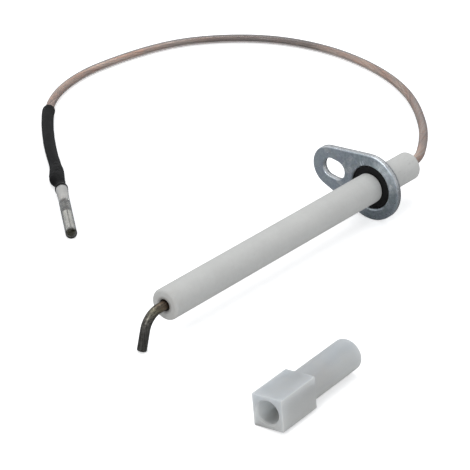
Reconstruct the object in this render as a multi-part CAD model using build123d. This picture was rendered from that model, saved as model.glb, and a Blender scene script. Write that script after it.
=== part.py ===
from build123d import *
import math
import os

os.makedirs("parts", exist_ok=True)

# Ignition electrode for a gas boiler burner, with its flying lead and the loose
# nylon adapter that is supplied with it.  All sizes in millimetres.
#
# Frame: the origin is on the ceramic's axis, in the plane of the flange's front
# (mounting) face.  -X runs along the ceramic to the spark tip, +X to the lead,
# +Z is up.  The electrode lies on a flat surface at Z = surface_z.

# ------------------------------------------------------------ driving sizes
# flange
flange_ring_r = 11.15      # round end, around the ceramic
flange_tab_r = 7.15        # round end of the tab
flange_tab_reach = 16.2    # ceramic axis to the centre of the tab's round end
flange_tilt = 7.5          # the tab points along +Y, turned up this many degrees
flange_t = 2.0
flange_hole_r = 7.3
flange_edge_r = 0.45       # rolled front edge of the blank
flange_hole_edge_r = 0.7
slot_reach = 14.85         # ceramic axis to the centre of the fixing slot
slot_w = 6.6
slot_l = 8.8
nick_angles = (63.0, 70.0, -88.0)   # small punch nicks at the hole's edge, from +Y to +Z
nick_r0 = 7.0
nick_r1 = 9.1
nick_w = 0.4
nick_depth = 0.18

surface_z = -flange_ring_r

# ceramic
front_len = 98.5
rear_len = 21.0
front_r = 5.0
rear_r = 4.75
ceramic_end_round = 0.9
bore_r = 1.85
pocket_r = 3.2             # rear pocket for the splice
pocket_x = 5.5
groove_r = 4.2             # groove that the flange seal locks into
groove_x0 = 0.4
groove_x1 = 2.6

# rod
rod_r = 1.5
rod_rear_x = 12.6
rod_corner_x = -105.8      # where the rod's two straight legs would meet
rod_lean = 14.6            # lower leg, degrees from plumb
rod_bend_r = 6.2
rod_tip_z = -10.827         # centre of the cut end

# splice in the rear pocket
ferrule_r = 2.2
ferrule_x0 = 8.3
ferrule_x1 = 18.3
potting_x0 = 8.0
potting_x1 = 20.4
sheath_x0 = 19.0
slip = 0.01                # face gap between nested pieces of one body

# lead
conductor_r = 0.675
sheath_r = 1.5
sheath_bore_r = 0.70

# terminal, measured back from its open end along its own axis
sleeve_r = 1.86
sleeve_bore_r = 1.57
sleeve_flare_r = 2.05      # the sleeve's rear end is stretched a little wider
sleeve_flare_a = 25.5
sleeve_flare_b = 28.5
sleeve_len = 31.3
contact_mouth = 0.8
contact_r = 1.5
contact_bore_r = 1.25
contact_bore_len = 12.3
channel_len = 2.6
crimp_r = 1.2
crimp_len = 4.2
conductor_end = 14.6
sheath_end = 21.0
shrink_start = 0.788       # share of the sheath's length, from the ceramic
shrink_end = 29.5
shrink_step = 31.6
shrink_lip = 31.9
shrink_neck = (32.9, 34.0)   # where it is pinched in behind the sleeve
shrink_neck_r = 1.78
shrink_bulge = 35.6
shrink_r = 2.1
shrink_lip_r = 2.28
shrink_bore_r = 1.53
shrink_lip_bore_r = 2.07

# adapter
adapter_x = -117.4         # centre of the square head's open face
adapter_y = -54.95
adapter_heading = 3.9      # its axis is turned this many degrees from +X
adapter_roll = -5.9        # and it is rolled onto one long edge of its head
head_w = 10.1              # square head, across its flats
head_len = 16.3
head_edge_r = 0.25
shank_r = 5.0
shank_len = 23.5
adapter_bore_r = 3.65
adapter_bore_len = 26.0
adapter_neck_r = 2.2


def turned(points, rounds=()):
    """Solid of revolution about X from (x, radius) points."""
    face = make_face(Polyline(*[(x, r, 0) for x, r in points], close=True))
    for index, radius in rounds:
        x, r = points[index]
        corner = face.vertices().sort_by_distance(Vector(x, r, 0))[0]
        face = fillet(corner, radius)
    return revolve(face, Axis.X, 360)


def tube_along(path, outer, inner=0.0):
    section = Circle(outer) if inner <= 0 else Circle(outer) - Circle(inner)
    return sweep(Plane(origin=path @ 0, z_dir=path % 0) * section, path=path)


parts = {}

# ------------------------------------------------------------ ceramic insulator
parts["ceramic_insulator"] = turned(
    [
        (-front_len, bore_r),
        (-front_len, front_r),
        (groove_x0, front_r),
        (groove_x0, groove_r),
        (groove_x1, groove_r),
        (groove_x1, rear_r),
        (rear_len, rear_r),
        (rear_len, pocket_r),
        (pocket_x, pocket_r),
        (pocket_x, bore_r),
    ],
    rounds=[(0, 0.3), (1, ceramic_end_round), (2, 0.75), (6, 0.8), (7, 0.25)],
)

# ------------------------------------------------------------ spark rod, bent tip
lean = math.radians(rod_lean)
rod_tip_x = rod_corner_x + math.tan(lean) * rod_tip_z
rod_path = FilletPolyline(
    (rod_rear_x, 0, 0), (rod_corner_x, 0, 0), (rod_tip_x, 0, rod_tip_z), radius=rod_bend_r
)
rod = tube_along(rod_path, rod_r)
tip_edge = rod.edges().filter_by(GeomType.CIRCLE).sort_by(Axis.Z)[0]
parts["electrode_rod"] = fillet(tip_edge, 0.25)

# ------------------------------------------------------------ cement, splice, potting
parts["rod_cement"] = turned(
    [
        (pocket_x + slip, rod_r + slip),
        (pocket_x + slip, pocket_r - slip),
        (potting_x0 - slip, pocket_r - slip),
        (potting_x0 - slip, rod_r + slip),
    ]
)
parts["splice_ferrule"] = turned(
    [
        (ferrule_x0, rod_r + slip),
        (ferrule_x0, ferrule_r),
        (ferrule_x1, ferrule_r),
        (ferrule_x1, conductor_r + slip),
        (rod_rear_x + 0.7, conductor_r + slip),
        (rod_rear_x + 0.2, rod_r + slip),
    ],
    rounds=[(1, 0.2), (2, 0.2)],
)
parts["rear_potting"] = turned(
    [
        (potting_x0, rod_r + slip),
        (potting_x0, pocket_r - slip),
        (potting_x1, pocket_r - slip),
        (potting_x1 - 0.5, sheath_r + slip),
        (sheath_x0 - slip, sheath_r + slip),
        (sheath_x0 - slip, conductor_r + slip),
        (ferrule_x1 + slip, conductor_r + slip),
        (ferrule_x1 + slip, ferrule_r + slip),
        (ferrule_x0 - slip, ferrule_r + slip),
        (ferrule_x0 - slip, rod_r + slip),
    ]
)

# ------------------------------------------------------------ mounting flange
face_plane = Plane(origin=(0, 0, 0), x_dir=(0, 1, 0), z_dir=(1, 0, 0))
beta = math.acos((flange_ring_r - flange_tab_r) / flange_tab_reach)


def on(cx, radius, angle):
    return (cx + radius * math.cos(angle), radius * math.sin(angle))


outline = (
    Line(on(0, flange_ring_r, -beta), on(flange_tab_reach, flange_tab_r, -beta))
    + ThreePointArc(
        on(flange_tab_reach, flange_tab_r, -beta),
        on(flange_tab_reach, flange_tab_r, 0),
        on(flange_tab_reach, flange_tab_r, beta),
    )
    + Line(on(flange_tab_reach, flange_tab_r, beta), on(0, flange_ring_r, beta))
    + ThreePointArc(
        on(0, flange_ring_r, beta), (-flange_ring_r, 0), on(0, flange_ring_r, -beta)
    )
)
blank = make_face(outline)
flange = extrude(face_plane * blank, amount=flange_t)
front_rim = flange.edges().group_by(Axis.X)[0]
flange = fillet(front_rim, flange_edge_r)
back_rim = flange.edges().group_by(Axis.X)[-1]
flange = fillet(back_rim, 0.2)
hole_cut = turned(
    [
        (-1.0, 0.0),
        (-1.0, flange_hole_r + flange_hole_edge_r),
        (0.0, flange_hole_r + flange_hole_edge_r),
        (flange_hole_edge_r, flange_hole_r),
        (flange_t + 1.0, flange_hole_r),
        (flange_t + 1.0, 0.0),
    ]
)
hole_round = Pos(0, 0, 0) * Rot(0, 90, 0) * Torus(
    flange_hole_r + flange_hole_edge_r, flange_hole_edge_r
)
ring_of_metal = Pos(flange_hole_edge_r, 0, 0) * hole_round
hole_cut = hole_cut - ring_of_metal
flange = flange - hole_cut
slot_plane = Plane(origin=(0, slot_reach, 0), x_dir=(0, 1, 0), z_dir=(1, 0, 0))
flange = flange - extrude(slot_plane * SlotOverall(slot_l, slot_w), amount=flange_t)
slot_rim = [
    e
    for e in flange.edges().group_by(Axis.X)[0]
    if abs(e.center().Y - slot_reach) < slot_l / 2 + 0.1 and abs(e.center().Z) < slot_w / 2 + 0.1
]
flange = fillet(slot_rim, 0.3)
flange = Rot(flange_tilt, 0, 0) * flange
for angle in nick_angles:
    nick = Pos(0, (nick_r0 + nick_r1) / 2, 0) * Rot(0, 45, 0) * Box(
        nick_w / math.sqrt(2), nick_r1 - nick_r0, nick_w / math.sqrt(2)
    )
    flange = flange - Rot(angle, 0, 0) * Pos(nick_depth - nick_w / 2, 0, 0) * nick
parts["mounting_flange"] = flange

# ------------------------------------------------------------ black seal in the flange's hole
parts["flange_seal"] = turned(
    [
        (groove_x0 + 0.15, groove_r + slip),
        (flange_hole_edge_r + 0.2, flange_hole_r - slip),
        (flange_t + slip, flange_hole_r - slip),
        (flange_t + slip, flange_hole_r + 0.9),
        (groove_x1 - 0.05, flange_hole_r + 0.6),
        (groove_x1 - slip, groove_r + slip),
    ]
)

# ------------------------------------------------------------ terminal's axis
# T is the open end, the lead comes from the other side.
terminal_tip = Vector(-71.77, 63.38, -9.20)
terminal_root = Vector(-45.19, 94.59, -8.73)   # 41 back from the open end
back = (terminal_root - terminal_tip).normalized()
side = back.cross(Vector(0, 0, 1)).normalized()
upward = side.cross(back)
terminal_place = Plane(origin=terminal_tip, x_dir=back, z_dir=upward).location


def along_terminal(a):
    return terminal_tip + back * a


# ------------------------------------------------------------ lead route
# Leaves the ceramic along +X, drops to the surface, runs round in a wide arc
# and comes back to the left, where the terminal lies.
route = [
    (rod_rear_x + 0.9, 0.0, 0.0),
    (26.0, 0.0, 0.0),
    (36.8, 6.0, -0.3),
    (47.9, 13.9, -1.6),
    (60.2, 24.3, -4.6),
    (72.4, 35.3, -7.9),
    (82.4, 46.8, -9.6),
    (88.9, 60.1, -9.6),
    (92.8, 76.8, -9.6),
    (92.8, 94.1, -9.6),
    (87.5, 111.5, -9.6),
    (76.5, 126.0, -9.6),
    (60.9, 137.6, -9.6),
    (39.5, 143.1, -9.6),
    (15.9, 144.9, -9.6),
    (-7.7, 136.1, -8.98),
    (-29.9, 114.2, -9.0),
    tuple(terminal_root),
]
end_of_conductor = tuple(along_terminal(conductor_end))
end_of_sheath = tuple(along_terminal(sheath_end))


def corner_radii(points):
    radii = []
    for a, b, c in zip(points, points[1:], points[2:]):
        u, v = Vector(*b) - Vector(*a), Vector(*c) - Vector(*b)
        turn = u.get_angle(v)
        radii.append(0.45 * min(u.length, v.length) / math.tan(math.radians(turn) / 2))
    return radii


full_route = route + [end_of_conductor]
radii = corner_radii(full_route)
runs = [(Vector(*b) - Vector(*a)).length for a, b in zip(full_route, full_route[1:])]
print("lead runs", [round(r, 1) for r in runs])
print("lead radii", [round(r, 1) for r in radii])

conductor_path = FilletPolyline(*full_route, radius=radii)
sheath_route = [(sheath_x0, 0.0, 0.0)] + route[1:] + [end_of_sheath]
# the first run is shorter here, but its corner keeps the conductor's radius
sheath_path = FilletPolyline(*sheath_route, radius=radii)

parts["lead_conductor"] = tube_along(conductor_path, conductor_r)
parts["lead_sheath"] = tube_along(sheath_path, sheath_r, sheath_bore_r)
for name, path, outer, inner in (
    ("lead_conductor", conductor_path, conductor_r, 0.0),
    ("lead_sheath", sheath_path, sheath_r, sheath_bore_r),
):
    want = math.pi * (outer**2 - inner**2) * path.length
    print(name, "length", round(path.length, 2), "volume", round(parts[name].volume, 2), "of", round(want, 2))

# ------------------------------------------------------------ black heat-shrink sleeve
# its path runs over both ends, and the tube is then cut off square: at the lead's
# end where the sleeve starts, and at the terminal's end over the clear sleeve
shrink_over = shrink_end - 4.0
shrink_route = [
    tuple(Vector(*route[-4]) * 0.50 + Vector(*route[-3]) * 0.50),
    route[-3],
    route[-2],
    route[-1],
    tuple(along_terminal(shrink_over)),
]
shrink_path = FilletPolyline(*shrink_route, radius=radii[-3:])
shrink_body = tube_along(shrink_path, shrink_r, shrink_bore_r)
shrink_cut = Plane(origin=sheath_path @ shrink_start, z_dir=-(sheath_path % shrink_start))
shrink_body = shrink_body - extrude(shrink_cut * Rectangle(16, 16), amount=20)
sleeve_room = terminal_place * turned(
    [
        (shrink_over - 1, 0),
        (shrink_over - 1, shrink_r + 1),
        (shrink_end, shrink_r + 1),
        (shrink_end, shrink_lip_bore_r),
        (shrink_step, shrink_lip_bore_r),
        (shrink_step, 0),
    ]
)
shrink_lip_tube = terminal_place * turned(
    [
        (shrink_end, shrink_lip_bore_r),
        (shrink_end, shrink_lip_r),
        (shrink_lip, shrink_lip_r),
        (shrink_lip, shrink_r - 0.1),
        (shrink_step, shrink_r - 0.1),
        (shrink_step, shrink_lip_bore_r),
    ]
)
shrink_pinch = terminal_place * turned(
    [
        (shrink_lip, shrink_lip_r + 0.4),
        (shrink_lip, shrink_lip_r - 0.02),
        (shrink_neck[0], shrink_neck_r),
        (shrink_neck[1], shrink_neck_r),
        (shrink_bulge, shrink_lip_r - 0.02),
        (shrink_bulge, shrink_lip_r + 0.4),
    ]
)
parts["heat_shrink_sleeve"] = shrink_body - sleeve_room + shrink_lip_tube - shrink_pinch

# ------------------------------------------------------------ terminal contact and its clear sleeve
barrel_end = contact_mouth + contact_bore_len
barrel = turned(
    [
        (contact_mouth, contact_bore_r),
        (contact_mouth, contact_r),
        (barrel_end, contact_r),
        (barrel_end, contact_bore_r),
    ],
    rounds=[(1, 0.12)],
)
channel = turned(
    [
        (barrel_end, contact_bore_r - 0.1),
        (barrel_end, contact_r - 0.05),
        (barrel_end + channel_len, contact_r - 0.25),
        (barrel_end + channel_len, contact_bore_r - 0.3),
    ]
)
channel = channel - Pos(barrel_end + channel_len / 2, 0, 1.1) * Box(channel_len + 1, 4, 2.2)
crimp = turned(
    [
        (barrel_end + channel_len, conductor_r + slip),
        (barrel_end + channel_len, crimp_r + 0.1),
        (barrel_end + channel_len + crimp_len, crimp_r),
        (barrel_end + channel_len + crimp_len, conductor_r + slip),
    ],
    rounds=[(2, 0.15)],
)
seam = Pos((barrel_end + contact_mouth) / 2, 0, 1.35) * Box(barrel_end - contact_mouth + 1, 0.3, 0.6)
crimp_groove = Pos(barrel_end + channel_len + crimp_len / 2, 0, 1.35) * Box(crimp_len - 1.2, 0.5, 0.6)
contact = barrel + channel + crimp - seam - crimp_groove
parts["terminal_contact"] = terminal_place * contact
parts["terminal_sleeve"] = terminal_place * turned(
    [
        (0.0, sleeve_bore_r),
        (0.0, sleeve_r),
        (sleeve_flare_a, sleeve_r),
        (sleeve_flare_b, sleeve_flare_r),
        (sleeve_len, sleeve_flare_r),
        (sleeve_len, sleeve_bore_r + 0.15),
        (sleeve_flare_b, sleeve_bore_r + 0.15),
        (sleeve_flare_a, sleeve_bore_r),
    ],
    rounds=[(1, 0.1)],
)

# ------------------------------------------------------------ loose adapter
lean = math.radians(abs(adapter_roll))
adapter_z = surface_z + head_edge_r + (head_w / 2 - head_edge_r) * (math.cos(lean) + math.sin(lean))
head_plane = Plane(origin=(0, 0, 0), x_dir=(0, 1, 0), z_dir=(1, 0, 0))
head = extrude(head_plane * Rectangle(head_w, head_w), amount=head_len)
head = fillet(head.edges().filter_by(Axis.X), head_edge_r)
head = fillet(head.edges().group_by(Axis.X)[0], 0.2)
head = fillet(head.edges().group_by(Axis.X)[-1], 0.2)
shank = turned(
    [
        (head_len - 0.5, 0),
        (head_len - 0.5, shank_r),
        (head_len + shank_len, shank_r),
        (head_len + shank_len, 0),
    ],
    rounds=[(2, 0.9)],
)
adapter_cut = turned(
    [
        (-1.0, 0),
        (-1.0, adapter_bore_r + 0.4),
        (0.0, adapter_bore_r + 0.4),
        (0.4, adapter_bore_r),
        (adapter_bore_len, adapter_bore_r),
        (adapter_bore_len + 1.0, adapter_neck_r),
        (head_len + shank_len + 1.0, adapter_neck_r),
        (head_len + shank_len + 1.0, 0),
    ]
)
adapter = head + shank - adapter_cut
adapter = Pos(adapter_x, adapter_y, adapter_z) * Rot(0, 0, adapter_heading) * Rot(adapter_roll, 0, 0) * adapter
parts["adapter_body"] = adapter

# ------------------------------------------------------------ write the pieces
for name, shape in parts.items():
    solids = shape.solids()
    solid = solids[0] if len(solids) == 1 else Compound(children=list(solids))
    solid.label = name
    export_step(solid, f"parts/{name}.step")
    box = solid.bounding_box()
    print(
        name,
        len(solids),
        "vol",
        round(sum(s.volume for s in solids), 2),
        "z",
        round(box.min.Z, 3),
        round(box.max.Z, 3),
    )
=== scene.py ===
import math

import bpy
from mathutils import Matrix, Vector, noise


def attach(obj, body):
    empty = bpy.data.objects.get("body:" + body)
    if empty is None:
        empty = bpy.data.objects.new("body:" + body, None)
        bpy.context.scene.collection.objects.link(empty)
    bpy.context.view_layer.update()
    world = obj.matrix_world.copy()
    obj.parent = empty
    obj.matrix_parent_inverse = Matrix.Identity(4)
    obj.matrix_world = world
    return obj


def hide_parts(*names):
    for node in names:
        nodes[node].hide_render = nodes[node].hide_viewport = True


# Ignition electrode with its flying lead and loose nylon adapter.
# Everything is in metres, in the frame of the CAD model: ceramic along X, the
# spark tip at -X, the lead at +X, lying on a surface at SURFACE_Z.

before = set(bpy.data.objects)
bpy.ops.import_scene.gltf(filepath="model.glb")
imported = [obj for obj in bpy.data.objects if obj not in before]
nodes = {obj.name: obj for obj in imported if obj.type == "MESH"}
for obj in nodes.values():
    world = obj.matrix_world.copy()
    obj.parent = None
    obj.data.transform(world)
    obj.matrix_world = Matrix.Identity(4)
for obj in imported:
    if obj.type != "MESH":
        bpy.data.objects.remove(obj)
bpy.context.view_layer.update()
scene = bpy.context.scene

MM = 0.001
SURFACE_Z = -11.15 * MM

# ------------------------------------------------------------------ camera
camera_data = bpy.data.cameras.new("camera")
camera_data.sensor_width = 36.0
camera_data.lens = 191.49
camera_data.clip_start = 0.01
camera_data.clip_end = 20.0
camera = bpy.data.objects.new("camera", camera_data)
scene.collection.objects.link(camera)
camera.location = (-0.56937, -0.42649, 0.36599)
camera.rotation_euler = (math.radians(90 - 28.348), 0.0, math.radians(-49.7))
scene.camera = camera

# ------------------------------------------------------------------ lead route
# The same points as the CAD model's, as control points of one smooth curve.
ROUTE = [
    (0.0190, 0.0, 0.0),
    (0.0260, 0.0, 0.0),
    (0.0368, 0.0060, -0.0003),
    (0.0479, 0.0139, -0.0016),
    (0.0602, 0.0243, -0.0046),
    (0.0724, 0.0353, -0.0079),
    (0.0824, 0.0468, -0.0096),
    (0.0889, 0.0601, -0.0096),
    (0.0928, 0.0768, -0.0096),
    (0.0928, 0.0941, -0.0096),
    (0.0875, 0.1115, -0.0096),
    (0.0765, 0.1260, -0.0096),
    (0.0609, 0.1376, -0.0096),
    (0.0395, 0.1431, -0.0096),
    (0.0159, 0.1449, -0.0096),
    (-0.0077, 0.1361, -0.00898),
    (-0.0299, 0.1142, -0.0090),
    (-0.04519, 0.09459, -0.00873),
    (-0.05816, 0.07936, -0.00896),
]
TERMINAL_TIP = Vector((-0.07177, 0.06338, -0.00920))
TERMINAL_AXIS = (Vector((-0.04519, 0.09459, -0.00873)) - TERMINAL_TIP).normalized()
SHEATH_R = 1.5 * MM
SHEATH_END_A = 21.0 * MM  # the sheath's end, measured back from the terminal's open end


def nurbs(name, points, resolution):
    data = bpy.data.curves.new(name, "CURVE")
    data.dimensions = "3D"
    data.resolution_u = resolution
    spline = data.splines.new("NURBS")
    spline.points.add(len(points) - 1)
    for point, co in zip(spline.points, points):
        point.co = (*co, 1.0)
    spline.order_u = 3
    spline.use_endpoint_u = True
    obj = bpy.data.objects.new(name, data)
    scene.collection.objects.link(obj)
    return obj


def points_of(obj):
    mesh = bpy.data.meshes.new_from_object(obj)
    found = [v.co.copy() for v in mesh.vertices]
    bpy.data.meshes.remove(mesh)
    return found


lead = nurbs("lead_clear_sheath", ROUTE, 24)
line = points_of(lead)
lead.data.bevel_depth = SHEATH_R
lead.data.bevel_resolution = 10
lead.data.use_fill_caps = True


def lengths(points):
    total = [0.0]
    for a, b in zip(points, points[1:]):
        total.append(total[-1] + (b - a).length)
    return total


line_s = lengths(line)
LINE_LENGTH = line_s[-1]


# ------------------------------------------------------------------ mesh tools
def frames_along(points):
    """Unit tangents and two normals at each point, turned as little as possible."""
    tangents = []
    for i in range(len(points)):
        a, b = points[max(i - 1, 0)], points[min(i + 1, len(points) - 1)]
        tangents.append((b - a).normalized())
    normal = tangents[0].cross(Vector((0, 0, 1))).normalized()
    result = []
    for t in tangents:
        normal = (normal - t * normal.dot(t)).normalized()
        result.append((t, normal.copy(), t.cross(normal)))
    return result


def mesh_object(name, verts, faces, smooth=True):
    mesh = bpy.data.meshes.new(name)
    mesh.from_pydata([tuple(v) for v in verts], [], faces)
    mesh.validate()
    for p in mesh.polygons:
        p.use_smooth = smooth
    obj = bpy.data.objects.new(name, mesh)
    scene.collection.objects.link(obj)
    return obj


def rings_to_faces(count, around, base=0, loop=False):
    faces = []
    for i in range(count if loop else count - 1):
        j = (i + 1) % count
        for k in range(around):
            m = (k + 1) % around
            faces.append((base + i * around + k, base + i * around + m, base + j * around + m, base + j * around + k))
    return faces


# ------------------------------------------------------------------ twisted strands
def strands_piece():
    step = 0.55 * MM
    # the conductor runs on straight at both ends, into the ferrule and the crimp
    start, finish = line[0], line[-1]
    path = [start + Vector((-1, 0, 0)) * (5.0 * MM - i * MM) for i in range(5)]
    wanted, walk = [], 0.0
    for a, b, sa, sb in zip(line, line[1:], line_s, line_s[1:]):
        while walk <= sb:
            wanted.append(a.lerp(b, (walk - sa) / (sb - sa) if sb > sa else 0.0))
            walk += step
    path += wanted + [finish - TERMINAL_AXIS * (0.6 + i * 0.6) * MM for i in range(10)]
    along = lengths(path)
    frames = frames_along(path)
    verts, faces = [], []
    pitch = 26.0 * MM
    count, ring_r, strand_r, sides = 10, 0.535 * MM, 0.170 * MM, 6
    colours = []
    for k in range(count):
        base = len(verts)
        wobble = 0.25 * math.sin(k * 2.4)
        for p, s, (t, n, b) in zip(path, along, frames):
            turn = 2 * math.pi * (k / count + s / pitch) + wobble * 0.2 * math.sin(s / MM / 7.0 + k)
            out = n * math.cos(turn) + b * math.sin(turn)
            centre = p + out * ring_r
            lay = (t + (b * math.cos(turn) - n * math.sin(turn)) * (2 * math.pi * ring_r / pitch)).normalized()
            side = lay.cross(out).normalized()
            for q in range(sides):
                angle = 2 * math.pi * q / sides
                verts.append(centre + (out * math.cos(angle) + side * math.sin(angle)) * strand_r)
                colours.append(0.5 + 0.26 * math.sin(2 * math.pi * k / count + 0.6 * math.sin(s / MM / 11.0)) + 0.24 * math.sin(k * 2.4))
        faces += rings_to_faces(len(path), sides, base)
        last = base + (len(path) - 1) * sides
        faces.append(tuple(base + q for q in reversed(range(sides))))
        faces.append(tuple(last + q for q in range(sides)))
    # the inner strands only fill the middle
    base = len(verts)
    for p, (t, n, b) in zip(path, frames):
        for q in range(8):
            angle = 2 * math.pi * q / 8
            verts.append(p + (n * math.cos(angle) + b * math.sin(angle)) * 0.42 * MM)
            colours.append(0.5)
    faces += rings_to_faces(len(path), 8, base)
    last = base + (len(path) - 1) * 8
    faces.append(tuple(base + q for q in reversed(range(8))))
    faces.append(tuple(last + q for q in range(8)))
    obj = mesh_object("lead_copper_strands", verts, faces)
    tint = obj.data.attributes.new("strand_tint", "FLOAT", "POINT")
    tint.data.foreach_set("value", colours)
    return obj


strands = strands_piece()


# ------------------------------------------------------------------ heat-shrink sleeve
# Radius against the distance back from the terminal's open end, in millimetres.
SHRINK_PROFILE = [
    (29.65, 2.08), (29.8, 2.20), (30.4, 2.24), (30.9, 2.20), (31.6, 2.02), (32.4, 1.72), (33.6, 1.66),
    (35.6, 1.98), (37.4, 2.12), (40.0, 2.16), (43.0, 2.17), (45.0, 2.09), (47.5, 2.00), (52.0, 1.99),
    (60.0, 2.03), (70.0, 2.06), (78.0, 2.09), (84.8, 2.12), (88.4, 2.16), (90.2, 2.24), (91.0, 2.22),
    (91.55, 2.08), (91.7, 1.85),
]


def profile_at(table, x):
    if x <= table[0][0]:
        return table[0][1]
    for (x0, y0), (x1, y1) in zip(table, table[1:]):
        if x <= x1:
            t = (x - x0) / (x1 - x0)
            t = t * t * (3 - 2 * t)
            return y0 + (y1 - y0) * t
    return table[-1][1]


def point_on_line(s):
    s = min(max(s, 0.0), LINE_LENGTH)
    for a, b, sa, sb in zip(line, line[1:], line_s, line_s[1:]):
        if s <= sb:
            return a.lerp(b, (s - sa) / (sb - sa) if sb > sa else 0.0)
    return line[-1].copy()


def shrink_piece():
    around = 56
    low, high = SHRINK_PROFILE[0][0], SHRINK_PROFILE[-1][0]
    stations = []
    a = high
    while a > low:
        stations.append(a)
        near_end = min(a - low, high - a)
        a -= 0.10 if near_end < 1.0 else 0.32
    stations.append(low)
    centres = [point_on_line(LINE_LENGTH - (a * MM - SHEATH_END_A)) for a in stations]
    frames = frames_along(centres)
    left = Vector((-0.647, 0.763, 0.0))
    floor = SURFACE_Z + 0.02 * MM
    verts = []
    for a, centre, (t, n, b) in zip(stations, centres, frames):
        base = profile_at(SHRINK_PROFILE, a)
        # a fold that hangs over on one side, cut off short towards the pinched neck
        lobe = math.exp(-(((a - 37.2) / (6.2 if a > 37.2 else 2.4)) ** 2))
        knuckle = math.exp(-(((a - 43.0) / 2.2) ** 2))
        for k in range(around):
            angle = 2 * math.pi * k / around
            out = n * math.cos(angle) + b * math.sin(angle)
            towards_left = out.dot(left)
            r = base
            r += 1.15 * lobe * max(0.0, towards_left) ** 1.4
            r -= 0.12 * lobe * max(0.0, -towards_left)
            r += 0.16 * knuckle * max(0.0, -towards_left)
            wrinkle_amount = 0.06 + 0.94 * math.exp(-(((a - 40.0) / 7.0) ** 2))
            ends = min(1.0, (a - low) / 0.8, (high - a) / 0.8)
            p = centre / MM
            where = Vector((p.x * 0.20 + out.x * 1.1, p.y * 0.20 + out.y * 1.1, p.z * 0.20 + out.z * 1.1))
            r += 0.085 * noise.noise(where) * ends
            crease = noise.noise(Vector((a * 0.33, towards_left * 2.4, out.z * 2.4 + 7.3)))
            r -= 0.15 * wrinkle_amount * ends * max(0.0, 0.22 - abs(crease)) / 0.22
            fine = noise.noise(Vector((a * 0.8, out.x * 3.6, out.y * 3.6 + 3.1)))
            r += 0.05 * wrinkle_amount * fine * ends
            point = centre + out * r * MM
            point.z = max(point.z, floor)
            verts.append(point)
    faces = rings_to_faces(len(stations), around)
    outer_count = len(stations)
    # inner wall, from the terminal's end back to the lead's end
    inner = [(low, 2.07), (low + 1.6, 2.07), (low + 1.9, 1.60)]
    inner += [(low + 3.2, 1.53)] + [(low + 6.0 + 6.0 * i, 1.53) for i in range(9)] + [(high - 0.8, 1.53), (high, 1.56)]
    inner_centres = [point_on_line(LINE_LENGTH - (a * MM - SHEATH_END_A)) for a, _ in inner]
    reference = frames[-1][1]
    for i, ((a, r), centre) in enumerate(zip(inner, inner_centres)):
        p0, p1 = inner_centres[max(i - 1, 0)], inner_centres[min(i + 1, len(inner) - 1)]
        t = (p0 - p1).normalized()
        n = (reference - t * reference.dot(t)).normalized()
        reference = n
        b = t.cross(n)
        for k in range(around):
            angle = 2 * math.pi * k / around
            verts.append(centre + (n * math.cos(angle) + b * math.sin(angle)) * r * MM)
    total = outer_count + len(inner)
    faces = rings_to_faces(total, around, loop=True)
    return mesh_object("heat_shrink_black", verts, faces)


shrink = shrink_piece()


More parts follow.
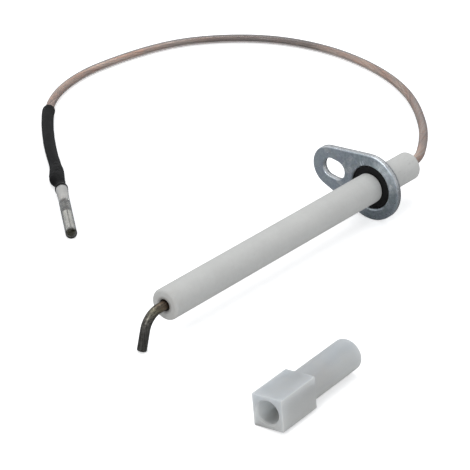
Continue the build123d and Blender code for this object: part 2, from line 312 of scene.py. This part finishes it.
# ------------------------------------------------------------------ materials
class Shader:
    """A Principled material with procedural inputs in object coordinates, sized in millimetres."""

    def __init__(self, name, **sockets):
        self.material = bpy.data.materials.new(name)
        self.material.use_nodes = True
        self.tree = self.material.node_tree
        self.tree.nodes.clear()
        out = self.node("ShaderNodeOutputMaterial")
        self.bsdf = self.node("ShaderNodeBsdfPrincipled")
        self.tree.links.new(self.bsdf.outputs["BSDF"], out.inputs["Surface"])
        self.coordinates = self.node("ShaderNodeTexCoord")
        for key, value in sockets.items():
            self.bsdf.inputs[key.replace("_", " ")].default_value = value

    def node(self, kind, **props):
        made = self.tree.nodes.new(kind)
        for key, value in props.items():
            setattr(made, key, value)
        return made

    def set(self, target, value):
        if isinstance(value, bpy.types.NodeSocket):
            self.tree.links.new(value, target)
        else:
            target.default_value = value

    def place(self, size=(1.0, 1.0, 1.0), turn=(0.0, 0.0, 0.0)):
        mapping = self.node("ShaderNodeMapping")
        self.tree.links.new(self.coordinates.outputs["Object"], mapping.inputs["Vector"])
        mapping.inputs["Scale"].default_value = [1000.0 / s for s in size]
        mapping.inputs["Rotation"].default_value = [math.radians(v) for v in turn]
        return mapping.outputs["Vector"]

    def noise(self, size, detail=3.0, rough=0.55, turn=(0.0, 0.0, 0.0), warp=0.0):
        size = (size, size, size) if isinstance(size, (int, float)) else size
        made = self.node("ShaderNodeTexNoise")
        self.tree.links.new(self.place(size, turn), made.inputs["Vector"])
        made.inputs["Scale"].default_value = 1.0
        made.inputs["Detail"].default_value = detail
        made.inputs["Roughness"].default_value = rough
        made.inputs["Distortion"].default_value = warp
        return made.outputs["Fac"]

    def cells(self, size, feature="F1"):
        made = self.node("ShaderNodeTexVoronoi", feature=feature)
        self.tree.links.new(self.place((size, size, size)), made.inputs["Vector"])
        made.inputs["Scale"].default_value = 1.0
        return made.outputs["Distance"]

    def ramp(self, value, stops, interpolation="LINEAR"):
        made = self.node("ShaderNodeValToRGB")
        made.color_ramp.interpolation = interpolation
        elements = made.color_ramp.elements
        while len(elements) < len(stops):
            elements.new(0.5)
        for element, (position, colour) in zip(elements, stops):
            element.position = position
            colour = (colour,) * 3 if isinstance(colour, (int, float)) else colour
            element.color = (*colour, 1.0)
        self.tree.links.new(value, made.inputs["Fac"])
        return made.outputs["Color"]

    def mix(self, factor, a, b, mode="MIX"):
        made = self.node("ShaderNodeMix", data_type="RGBA", blend_type=mode)
        self.set(made.inputs[0], factor)
        for index, value in ((6, a), (7, b)):
            if not isinstance(value, bpy.types.NodeSocket):
                value = (*value, 1.0) if len(value) == 3 else value
            self.set(made.inputs[index], value)
        return made.outputs[2]

    def math(self, operation, a, b=0.0, c=None, clamp=False):
        made = self.node("ShaderNodeMath", operation=operation, use_clamp=clamp)
        self.set(made.inputs[0], a)
        self.set(made.inputs[1], b)
        if c is not None:
            self.set(made.inputs[2], c)
        return made.outputs[0]

    def band(self, value, low, high, to_low=0.0, to_high=1.0, smooth=True):
        made = self.node("ShaderNodeMapRange", interpolation_type="SMOOTHSTEP" if smooth else "LINEAR")
        self.set(made.inputs["Value"], value)
        made.inputs["From Min"].default_value = low
        made.inputs["From Max"].default_value = high
        made.inputs["To Min"].default_value = to_low
        made.inputs["To Max"].default_value = to_high
        return made.outputs["Result"]

    def axis(self, name):
        """An object coordinate in millimetres."""
        made = self.node("ShaderNodeSeparateXYZ")
        self.tree.links.new(self.coordinates.outputs["Object"], made.inputs["Vector"])
        return self.math("MULTIPLY", made.outputs[name], 1000.0)

    def normal_axis(self, name):
        made = self.node("ShaderNodeSeparateXYZ")
        self.tree.links.new(self.coordinates.outputs["Normal"], made.inputs["Vector"])
        return self.math("ABSOLUTE", made.outputs[name])

    def along(self, origin, direction):
        """Distance along an axis and away from it, in millimetres."""
        offset = self.node("ShaderNodeVectorMath", operation="SUBTRACT")
        self.tree.links.new(self.coordinates.outputs["Object"], offset.inputs[0])
        offset.inputs[1].default_value = tuple(origin)
        dot = self.node("ShaderNodeVectorMath", operation="DOT_PRODUCT")
        self.tree.links.new(offset.outputs[0], dot.inputs[0])
        dot.inputs[1].default_value = tuple(direction)
        on = self.node("ShaderNodeVectorMath", operation="SCALE")
        on.inputs[0].default_value = tuple(direction)
        self.tree.links.new(dot.outputs["Value"], on.inputs["Scale"])
        away = self.node("ShaderNodeVectorMath", operation="DISTANCE")
        self.tree.links.new(offset.outputs[0], away.inputs[0])
        self.tree.links.new(on.outputs[0], away.inputs[1])
        return self.math("MULTIPLY", dot.outputs["Value"], 1000.0), self.math("MULTIPLY", away.outputs["Value"], 1000.0)

    def bump(self, layers):
        """layers: (height socket, depth in millimetres)."""
        normal = None
        for height, depth in layers:
            made = self.node("ShaderNodeBump")
            made.inputs["Strength"].default_value = 1.0
            made.inputs["Distance"].default_value = depth * MM
            self.tree.links.new(height, made.inputs["Height"])
            if normal is not None:
                self.tree.links.new(normal, made.inputs["Normal"])
            normal = made.outputs["Normal"]
        self.tree.links.new(normal, self.bsdf.inputs["Normal"])

    def colour(self, socket):
        self.set(self.bsdf.inputs["Base Color"], socket)

    def roughness(self, socket):
        self.set(self.bsdf.inputs["Roughness"], socket)


def dress(obj, shader):
    obj.data.materials.clear()
    obj.data.materials.append(shader.material)


def ceramic_material():
    m = Shader("alumina_ceramic", Specular_IOR_Level=0.42, Subsurface_Weight=0.18, Subsurface_Scale=0.0006)
    m.bsdf.inputs["Subsurface Radius"].default_value = (1.0, 0.95, 0.88)
    cloud = m.noise(14.0, 2.0)
    mottle = m.noise(1.6, 4.0, 0.6)
    draw = m.noise((60.0, 0.55, 0.55), 3.0, 0.6)
    base = m.ramp(cloud, [(0.25, (0.585, 0.586, 0.568)), (0.75, (0.640, 0.640, 0.618))])
    base = m.mix(m.band(mottle, 0.35, 0.75, 0.0, 0.22), base, (0.53, 0.525, 0.505))
    base = m.mix(m.band(draw, 0.55, 0.80, 0.0, 0.14), base, (0.50, 0.495, 0.48))
    # rare dark grains, and warm handling marks towards both ends
    grains = m.noise(0.42, 1.0, 0.5)
    base = m.mix(m.band(grains, 0.775, 0.80, 0.0, 0.42), base, (0.30, 0.285, 0.26))
    x = m.axis("X")
    tip_heat = m.math("MULTIPLY", m.band(x, -92.0, -98.7), m.band(m.noise(2.6, 3.0), 0.30, 0.75), clamp=True)
    base = m.mix(m.math("MULTIPLY", tip_heat, 0.32), base, (0.49, 0.455, 0.415))
    along, away = m.along((0.0, 0.0, 0.0), (1.0, 0.0, 0.0))
    # a darker ring on the front face round the bore
    bore_ring_dark = m.math("MULTIPLY", m.band(away, 3.1, 1.95), m.band(x, -97.2, -98.3), clamp=True)
    base = m.mix(m.math("MULTIPLY", bore_ring_dark, 0.62), base, (0.12, 0.11, 0.10))
    # grey metal rubbed off where the ceramic is pushed through the plate
    rub = m.math("MULTIPLY", m.band(m.noise((2.6, 0.5, 0.5), 3.0), 0.60, 0.70), m.band(x, -9.0, -1.0), clamp=True)
    base = m.mix(m.math("MULTIPLY", rub, 0.25), base, (0.36, 0.36, 0.36))
    m.colour(base)
    m.roughness(m.band(mottle, 0.2, 0.8, 0.50, 0.66, smooth=False))
    m.bump([(m.noise(0.16, 2.0), 0.012), (draw, 0.012), (m.noise(2.2, 2.0), 0.02)])
    return m


def rod_material():
    m = Shader("heat_tinted_alloy", Metallic=1.0)
    x, z = m.axis("X"), m.axis("Z")
    straight = m.noise((7.0, 0.42, 0.42), 4.0, 0.65)
    leaning = m.noise((0.42, 0.42, 6.0), 4.0, 0.65, turn=(0.0, 14.6, 0.0))
    drawn = m.mix(m.band(z, -1.5, -4.5), straight, leaning)
    # tint against distance: brown at the ceramic, straw green on the bend, near black below it
    distance = m.math("ADD", m.math("MULTIPLY", x, -1.0), m.math("MULTIPLY", z, -0.9))
    tint = m.ramp(
        m.band(distance, 97.0, 117.0, smooth=False),
        [
            (0.00, (0.245, 0.175, 0.125)),
            (0.16, (0.215, 0.165, 0.115)),
            (0.30, (0.255, 0.240, 0.170)),
            (0.44, (0.215, 0.205, 0.165)),
            (0.62, (0.185, 0.175, 0.158)),
            (1.00, (0.175, 0.167, 0.152)),
        ],
    )
    tint = m.mix(m.band(drawn, 0.44, 0.60, 0.0, 0.80), tint, (0.050, 0.047, 0.042))
    tint = m.mix(m.band(m.noise(1.6, 3.0, 0.55), 0.52, 0.72, 0.0, 0.35), tint, (0.36, 0.335, 0.275))
    m.colour(tint)
    m.roughness(m.band(drawn, 0.3, 0.7, 0.26, 0.48, smooth=False))
    m.bump([(drawn, 0.05), (m.noise(0.9, 2.0), 0.02)])
    return m


def zinc_material():
    m = Shader("zinc_plated_steel", Metallic=1.0)
    x = m.axis("X")
    face = m.normal_axis("X")
    cloud = m.noise(6.0, 3.0, 0.6, warp=0.6)
    mottle = m.noise(1.5, 3.0, 0.55)
    roll = m.noise((1.0, 11.0, 0.22), 4.0, 0.65, turn=(-7.5, 0.0, 0.0))
    base = m.ramp(
        cloud,
        [(0.30, (0.56, 0.67, 0.72)), (0.44, (0.78, 0.85, 0.89)), (0.55, (0.66, 0.72, 0.80)), (0.66, (0.95, 0.98, 1.0))],
    )
    ring_only = m.band(m.axis("Y"), 9.0, 14.0, 0.60, 0.22)
    base = m.mix(m.math("MULTIPLY", m.band(mottle, 0.42, 0.62), ring_only), base, (0.46, 0.53, 0.56))
    base = m.mix(m.band(roll, 0.55, 0.78, 0.0, 0.35), base, (0.74, 0.76, 0.78))
    # faint straw and lilac of the passivation
    base = m.mix(m.band(m.noise(4.2, 2.0, warp=1.2), 0.58, 0.72, 0.0, 0.30), base, (0.56, 0.52, 0.66))
    base = m.mix(m.band(m.noise(5.1, 2.0, warp=1.5), 0.62, 0.74, 0.0, 0.25), base, (0.60, 0.59, 0.50))
    # the sheared edge: burnished near the front, torn and duller towards the back
    edge = m.band(face, 0.55, 0.15)
    shear = m.noise((4.0, 0.20, 0.20), 3.0, 0.6)
    torn = m.math("MULTIPLY", edge, m.band(m.math("ADD", x, m.math("MULTIPLY", m.noise(0.8, 2.0), 0.8)), 1.45, 1.75), clamp=True)
    burnished = m.ramp(shear, [(0.3, (0.62, 0.645, 0.665)), (0.7, (0.80, 0.815, 0.825))])
    base = m.mix(edge, base, burnished)
    base = m.mix(torn, base, m.ramp(m.noise(0.28, 3.0), [(0.35, (0.22, 0.235, 0.25)), (0.68, (0.60, 0.61, 0.62))]))
    m.colour(base)
    rough = m.band(mottle, 0.30, 0.70, 0.24, 0.42, smooth=False)
    rough = m.math("ADD", rough, m.math("MULTIPLY", torn, 0.22))
    m.roughness(m.math("SUBTRACT", rough, m.math("MULTIPLY", edge, 0.04), clamp=True))
    m.bump([(m.noise(4.5, 2.0, 0.5), 0.45), (roll, 0.02), (mottle, 0.07), (m.math("MULTIPLY", shear, edge), 0.05), (m.math("MULTIPLY", m.noise(0.22, 2.0), torn), 0.09)])
    return m


def seal_and_shade_material():
    m = Shader("black_seal_and_hole_shade", Specular_IOR_Level=0.25)
    dust = m.noise(0.9, 4.0, 0.65)
    # near black: the seal's own black together with painted shade deep in the plate's hole
    m.colour(m.ramp(dust, [(0.35, (0.006, 0.006, 0.0065)), (0.62, (0.011, 0.011, 0.0115)), (0.80, (0.035, 0.034, 0.033))]))
    m.roughness(m.band(dust, 0.3, 0.7, 0.48, 0.72, smooth=False))
    m.bump([(m.noise(0.35, 3.0), 0.03), (m.noise(1.6, 2.0), 0.05)])
    return m


def sheath_material():
    m = Shader("clear_silicone", IOR=1.41, Transmission_Weight=0.86, Specular_IOR_Level=0.5)
    haze = m.noise(2.4, 3.0)
    base = m.ramp(haze, [(0.3, (0.90, 0.825, 0.780)), (0.7, (0.96, 0.895, 0.855))])
    # painted shade: the sheath is darker and browner on the far side of the loop
    far_side_shade = m.math("MULTIPLY", m.band(m.axis("Y"), 84.0, 100.0, 0.0, 0.55), m.band(m.axis("X"), 44.0, 82.0), clamp=True)
    m.colour(m.mix(far_side_shade, base, (0.62, 0.565, 0.545)))
    m.roughness(m.band(m.noise(0.8, 3.0), 0.3, 0.7, 0.10, 0.22, smooth=False))
    m.bump([(m.noise(1.1, 2.0), 0.010), (m.noise((30.0, 0.5, 0.5), 2.0), 0.006)])
    return m


def strand_material():
    m = Shader("copper_strands", Metallic=1.0)
    tint = m.node("ShaderNodeAttribute", attribute_name="strand_tint")
    patch = m.noise(11.0, 2.0)
    worn = m.noise(0.35, 3.0)
    each = m.ramp(
        tint.outputs["Fac"],
        [(0.0, (0.62, 0.37, 0.26)), (0.3, (0.88, 0.57, 0.43)), (0.6, (0.93, 0.71, 0.59)), (0.85, (0.96, 0.84, 0.75)), (1.0, (0.97, 0.78, 0.64))],
    )
    each = m.mix(m.band(patch, 0.45, 0.62, 0.0, 0.50), each, (0.60, 0.56, 0.54))
    each = m.mix(m.band(worn, 0.55, 0.75, 0.0, 0.4), each, (0.30, 0.21, 0.17))
    # painted shade: darker, browner strands on the far side of the loop, and dark ones in the crimp
    far_side_strand_shade = m.math("MULTIPLY", m.band(m.axis("Y"), 84.0, 100.0, 0.0, 0.85), m.band(m.axis("X"), 44.0, 82.0), clamp=True)
    each = m.mix(far_side_strand_shade, each, (0.16, 0.125, 0.115))
    along, away = m.along(TERMINAL_TIP, TERMINAL_AXIS)
    # the strands' painted shade inside the crimp
    in_crimp = m.math("MULTIPLY", m.band(along, 22.5, 20.5, 0.0, 0.9), m.band(away, 9.0, 6.0), clamp=True)
    each = m.mix(in_crimp, each, (0.09, 0.072, 0.052))
    m.colour(each)
    m.roughness(m.band(worn, 0.3, 0.7, 0.26, 0.42, smooth=False))
    m.bump([(m.noise(0.12, 2.0), 0.012)])
    return m


def shrink_material():
    m = Shader("black_heat_shrink", Specular_IOR_Level=0.13)
    grain = m.noise(0.30, 3.0, 0.6)
    cloud = m.noise(3.5, 3.0)
    base = m.ramp(cloud, [(0.3, (0.0035, 0.0035, 0.0037)), (0.7, (0.0070, 0.0070, 0.0072))])
    base = m.mix(m.band(m.noise((1.2, 1.2, 1.2), 4.0, 0.7), 0.60, 0.78, 0.0, 0.5), base, (0.016, 0.0158, 0.0155))
    m.colour(base)
    m.roughness(m.band(grain, 0.3, 0.7, 0.36, 0.54, smooth=False))
    m.bump([(grain, 0.022), (m.noise(1.3, 3.0, warp=0.8), 0.05)])
    return m


def contact_material():
    m = Shader("tinned_brass", Metallic=0.5)
    along, away = m.along(TERMINAL_TIP, TERMINAL_AXIS)
    tarnish = m.noise(1.3, 4.0, 0.6)
    draw = m.noise(0.22, 3.0)
    base = m.ramp(tarnish, [(0.30, (0.91, 0.885, 0.84)), (0.62, (0.96, 0.945, 0.91)), (0.80, (0.80, 0.75, 0.67))])
    # painted shade: the inside of the socket and the crimp are darker than the outside
    inside = m.math("MULTIPLY", m.band(away, 1.40, 1.30), m.band(along, 13.4, 12.6), clamp=True)
    base = m.mix(inside, base, m.ramp(draw, [(0.35, (0.22, 0.215, 0.165)), (0.6, (0.62, 0.60, 0.50))]))
    # painted shade at the socket's open mouth
    mouth = m.math("MULTIPLY", m.band(along, 1.9, 1.3), m.band(draw, 0.30, 0.62, 0.6, 1.0), clamp=True)
    base = m.mix(mouth, base, (0.20, 0.195, 0.16))
    # the crimp's painted shade
    crimp = m.band(along, 12.9, 13.9)
    base = m.mix(m.math("MULTIPLY", crimp, m.band(draw, 0.3, 0.6, 0.80, 1.0)), base, (0.042, 0.036, 0.024))
    m.colour(base)
    m.roughness(m.band(tarnish, 0.3, 0.7, 0.24, 0.40, smooth=False))
    m.bump([(draw, 0.012)])
    return m


def sleeve_material():
    m = Shader("milky_sleeve", IOR=1.40, Transmission_Weight=0.90, Specular_IOR_Level=0.5)
    along, away = m.along(TERMINAL_TIP, TERMINAL_AXIS)
    haze = m.noise(1.8, 3.0)
    base = m.ramp(haze, [(0.3, (0.88, 0.875, 0.845)), (0.7, (0.95, 0.95, 0.93))])
    # painted shade: a darker band round the sleeve's open end
    open_end_shade = m.math("MULTIPLY", m.band(along, 0.75, 0.15), m.band(m.noise(0.5, 3.0), 0.35, 0.60, 0.55, 1.0), clamp=True)
    base = m.mix(open_end_shade, base, (0.17, 0.165, 0.135))
    m.colour(base)
    m.set(m.bsdf.inputs["Transmission Weight"], m.band(along, 19.8, 21.6, 0.93, 0.58))
    m.roughness(m.band(m.noise(0.7, 3.0), 0.3, 0.7, 0.08, 0.20, smooth=False))
    m.bump([(m.noise(1.2, 2.0), 0.03), (m.noise(0.3, 2.0), 0.006)])
    return m


def nylon_material():
    m = Shader("natural_nylon", Specular_IOR_Level=0.35, Subsurface_Weight=1.0, Subsurface_Scale=0.0075)
    m.bsdf.inputs["Subsurface Radius"].default_value = (0.95, 1.0, 1.05)
    cloud = m.noise(9.0, 2.0)
    x = m.axis("X")
    base = m.ramp(cloud, [(0.25, (0.448, 0.474, 0.490)), (0.75, (0.505, 0.522, 0.531))])
    base = m.mix(m.band(m.noise(3.5, 3.0), 0.5, 0.8, 0.0, 0.3), base, (0.51, 0.505, 0.475))
    # painted light: the sides and the underside are made lighter and warmer, as light passing through the thick nylon
    # would make them
    base = m.mix(m.band(m.axis("Z"), -2.5, -9.0, 0.0, 0.45), base, (0.640, 0.635, 0.595))
    base = m.mix(m.band(m.normal_axis("Y"), 0.35, 0.95, 0.0, 0.50), base, (0.665, 0.665, 0.640))
    m.colour(base)
    flow = m.noise((5.0, 1.1, 1.1), 3.0, warp=0.5)
    m.roughness(m.band(flow, 0.3, 0.7, 0.36, 0.52, smooth=False))
    m.bump([(m.noise(0.28, 2.0), 0.008), (flow, 0.035)])
    return m


def cement_material():
    m = Shader("refractory_cement", Specular_IOR_Level=0.3)
    grain = m.noise(0.35, 4.0, 0.7)
    m.colour(m.ramp(grain, [(0.3, (0.36, 0.34, 0.31)), (0.7, (0.55, 0.53, 0.49))]))
    m.roughness(m.band(grain, 0.3, 0.7, 0.72, 0.92, smooth=False))
    m.bump([(grain, 0.08)])
    return m


def brass_material():
    m = Shader("plain_brass", Metallic=1.0)
    lines = m.noise((0.10, 2.0, 2.0), 3.0)
    open_end_shade = m.noise(1.5, 4.0)
    m.colour(m.ramp(open_end_shade, [(0.3, (0.62, 0.46, 0.20)), (0.7, (0.75, 0.59, 0.30))]))
    m.roughness(m.band(lines, 0.3, 0.7, 0.24, 0.40, smooth=False))
    m.bump([(lines, 0.015)])
    return m


def potting_material():
    m = Shader("silicone_potting", Specular_IOR_Level=0.45, Subsurface_Weight=0.4, Subsurface_Scale=0.0008)
    cloud = m.noise(1.8, 3.0)
    m.colour(m.ramp(cloud, [(0.3, (0.62, 0.60, 0.55)), (0.7, (0.74, 0.72, 0.68))]))
    m.roughness(m.band(cloud, 0.3, 0.7, 0.32, 0.48, smooth=False))
    m.bump([(m.noise(0.9, 2.0), 0.06)])
    return m


dress(nodes["ceramic_insulator"], ceramic_material())
dress(nodes["electrode_rod"], rod_material())
dress(nodes["mounting_flange"], zinc_material())
dress(nodes["flange_seal"], seal_and_shade_material())
dress(nodes["rod_cement"], cement_material())
dress(nodes["splice_ferrule"], brass_material())
dress(nodes["rear_potting"], potting_material())
dress(nodes["terminal_contact"], contact_material())
dress(nodes["terminal_sleeve"], sleeve_material())
dress(nodes["adapter_body"], nylon_material())
dress(lead, sheath_material())
dress(strands, strand_material())
dress(shrink, shrink_material())

# ------------------------------------------------------------------ pieces on their bodies
for piece, node, slot in (
    (lead, "lead_sheath", "lead_sheath"),
    (strands, "lead_conductor", "lead_conductor"),
    (shrink, "heat_shrink_sleeve", "heat_shrink_sleeve"),
):
    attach(piece, "electrode")
    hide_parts(node)


# ------------------------------------------------------------------ floor, light
def floor_piece():
    size = 3.0
    floor = mesh_object(
        "floor",
        [(-size, -size, SURFACE_Z), (size, -size, SURFACE_Z), (size, size, SURFACE_Z), (-size, size, SURFACE_Z)],
        [(0, 1, 2, 3)],
        smooth=False,
    )
    m = Shader("pale_floor", Specular_IOR_Level=0.15, Roughness=0.85)
    tone = m.ramp(m.noise(60.0, 2.0), [(0.3, (0.90, 0.90, 0.90)), (0.7, (0.915, 0.915, 0.915))])
    # what the object mirrors is a darker tabletop than the pale paper that is seen directly
    path = m.node("ShaderNodeLightPath")
    tone = m.mix(path.outputs["Is Diffuse Ray"], m.mix(path.outputs["Is Camera Ray"], (0.245, 0.255, 0.265, 1.0), tone), (0.86, 0.86, 0.86, 1.0))
    m.colour(tone)
    m.bsdf.inputs["Emission Color"].default_value = (1.0, 1.0, 1.0, 1.0)
    m.set(m.bsdf.inputs["Emission Strength"], m.math("MULTIPLY", path.outputs["Is Camera Ray"], 0.52))
    dress(floor, m)


floor_piece()

world = bpy.data.worlds.new("studio")
scene.world = world
world.use_nodes = True
world.node_tree.nodes["Background"].inputs["Color"].default_value = (0.95, 0.97, 1.0, 1.0)
world.node_tree.nodes["Background"].inputs["Strength"].default_value = 0.60


def softbox(name, location, target, size, power, colour=(1.0, 1.0, 1.0)):
    data = bpy.data.lights.new(name, "AREA")
    data.shape = "RECTANGLE"
    data.size, data.size_y = size
    data.energy = power
    data.color = colour
    obj = bpy.data.objects.new(name, data)
    scene.collection.objects.link(obj)
    obj.location = location
    obj.rotation_euler = (Vector(target) - Vector(location)).to_track_quat("-Z", "Y").to_euler()
    return obj


softbox("top_softbox", (0.10, 0.18, 0.75), (0.0, 0.04, 0.0), (0.60, 0.45), 2.0)
softbox("front_fill", (-0.75, -0.16, 0.62), (-0.02, 0.02, 0.0), (0.22, 0.30), 1.5)

scene.view_settings.view_transform = "Standard"
scene.view_settings.look = "None"
